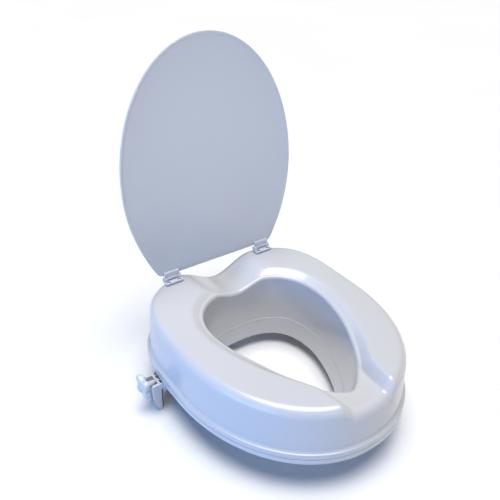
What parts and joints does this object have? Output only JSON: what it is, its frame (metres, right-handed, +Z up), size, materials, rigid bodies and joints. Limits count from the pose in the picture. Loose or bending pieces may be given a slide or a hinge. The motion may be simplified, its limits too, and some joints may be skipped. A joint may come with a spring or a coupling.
{
  "type": "raised toilet seat",
  "caption": "Oval raised toilet seat with a dished rim, open middle and splash guard, a hinged lid, and screw clamps on both sides for the bowl's rim.",
  "frame": {"origin": "middle of the base's underside, in the plane that rests over the bowl's rim; the clamps and the splash guard reach below it", "axes": "+Z up, -Y towards the front of the seat, +Y towards the lid's hinges, +X to the right seen from the front"},
  "size_m": [0.466, 0.4874, 0.5969],
  "materials": {
    "body_plastic": "smooth moulded white plastic, glossy",
    "lid_plastic": "smooth moulded white plastic, glossy",
    "hinge_plastic": "white moulded plastic, satin",
    "clamp_plastic": "white moulded plastic, glossy",
    "rubber_pads": "matt moulded rubber",
    "plated_steel": "bright zinc-plated steel"
  },
  "bodies": {
    "seat": {"base_ring": "body_plastic", "base_screw_1": "plated_steel", "base_screw_2": "plated_steel", "base_screw_3": "plated_steel", "base_screw_4": "plated_steel", "base_screw_5": "plated_steel", "base_screw_6": "plated_steel", "clamp_guide_left": "clamp_plastic", "clamp_guide_right": "clamp_plastic", "clamp_guide_screw_left_1": "plated_steel", "clamp_guide_screw_left_2": "plated_steel", "clamp_guide_screw_right_1": "plated_steel", "clamp_guide_screw_right_2": "plated_steel", "clamp_nut_left": "plated_steel", "clamp_nut_right": "plated_steel", "grip_pad_1": "rubber_pads", "grip_pad_2": "rubber_pads", "grip_pad_3": "rubber_pads", "grip_pad_4": "rubber_pads", "hinge_foot_left": "hinge_plastic", "hinge_foot_right": "hinge_plastic", "hinge_foot_screw_left_1": "plated_steel", "hinge_foot_screw_left_2": "plated_steel", "hinge_foot_screw_right_1": "plated_steel", "hinge_foot_screw_right_2": "plated_steel", "hinge_pin_left": "plated_steel", "hinge_pin_right": "plated_steel", "seat_shell": "body_plastic"},
    "lid": {"hinge_leaf_left": "hinge_plastic", "hinge_leaf_right": "hinge_plastic", "hinge_leaf_screw_left_1": "plated_steel", "hinge_leaf_screw_left_2": "plated_steel", "hinge_leaf_screw_right_1": "plated_steel", "hinge_leaf_screw_right_2": "plated_steel", "lid": "lid_plastic"},
    "clamp_left": {"clamp_bracket_left": "clamp_plastic", "clamp_pad_left": "rubber_pads", "clamp_washer_left": "plated_steel"},
    "clamp_right": {"clamp_bracket_right": "clamp_plastic", "clamp_pad_right": "rubber_pads", "clamp_washer_right": "plated_steel"},
    "knob_left": {"clamp_knob_left": "clamp_plastic", "clamp_ring_left": "plated_steel", "clamp_stud_left": "plated_steel"},
    "knob_right": {"clamp_knob_right": "clamp_plastic", "clamp_ring_right": "plated_steel", "clamp_stud_right": "plated_steel"}
  },
  "joints": [
    {"name": "lid_hinge", "type": "hinge", "parent": "seat", "child": "lid", "pos_m": [0, 0.2075, 0.1142], "axis": [1, 0, 0], "range_deg": [0, 97.9]},
    {"name": "clamp_slide_left", "type": "slide", "parent": "seat", "child": "clamp_left", "axis": [1, 0, 0], "range_m": [0, 0.0181]},
    {"name": "knob_turn_left", "type": "hinge", "parent": "clamp_left", "child": "knob_left", "pos_m": [-0.228, 0.095, -0.0058], "axis": [1, 0, 0], "range_deg": [0, 2160]},
    {"name": "clamp_slide_right", "type": "slide", "parent": "seat", "child": "clamp_right", "axis": [-1, 0, 0], "range_m": [0, 0.0181]},
    {"name": "knob_turn_right", "type": "hinge", "parent": "clamp_right", "child": "knob_right", "pos_m": [0.228, 0.095, -0.0058], "axis": [-1, 0, 0], "range_deg": [0, 2160]}
  ],
  "couplings": [
    {"joint": "clamp_slide_left", "follows": "knob_turn_left", "m_per_rad": 0.00047746},
    {"joint": "clamp_slide_right", "follows": "knob_turn_right", "m_per_rad": 0.00047746}
  ]
}
